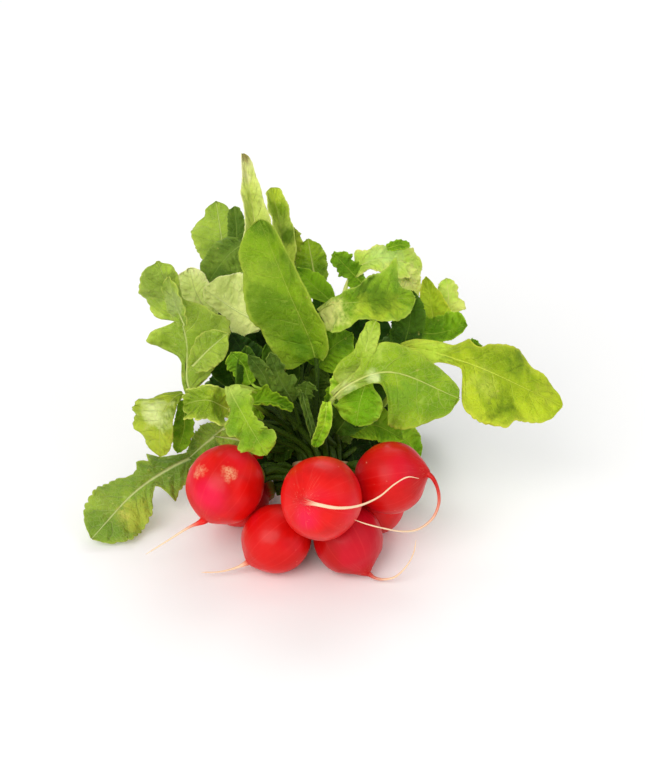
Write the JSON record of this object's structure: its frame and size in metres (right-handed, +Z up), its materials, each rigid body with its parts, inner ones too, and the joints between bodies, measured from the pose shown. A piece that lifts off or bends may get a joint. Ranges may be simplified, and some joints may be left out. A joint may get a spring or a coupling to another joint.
{
  "type": "bunch of radishes",
  "caption": "Bunch of small round red radishes with thin tap roots and full green leaves, tied by the leaf stalks and lying on its side.",
  "frame": {"origin": "middle of the bounding box, on the table the bunch lies on", "axes": "+Z up; roots towards -Y and leaf tips towards +Y; +X to the right as seen from the roots"},
  "size_m": [0.2056, 0.1776, 0.1233],
  "materials": {
    "radish_skin": "satin",
    "leaf_bright": "satin",
    "leaf_olive": "satin",
    "leaf_deep": "satin",
    "leaf_pale": "satin",
    "band": "matte"
  },
  "bodies": {
    "root": {"bulb_left_top": "radish_skin", "bulb_middle_top": "radish_skin", "bulb_right_top": "radish_skin", "bulb_left_front": "radish_skin", "bulb_right_front": "radish_skin", "bulb_right_middle": "radish_skin", "bulb_left_middle": "radish_skin", "bulb_rear": "radish_skin", "leaf_middle_right": "leaf_bright", "leaf_pale_back": "leaf_pale", "leaf_round_back": "leaf_deep", "leaf_under_right": "leaf_deep", "leaves_big_front": "leaf_olive", "leaves_droop_left": "leaf_bright", "leaves_far_left": "leaf_olive", "leaves_hang_front": "leaf_bright", "leaves_pale_small": "leaf_pale", "leaves_ragged_right": "leaf_deep", "leaves_strap": "leaf_bright", "leaves_tallest": "leaf_bright", "band": "band"}
  },
  "joints": []
}
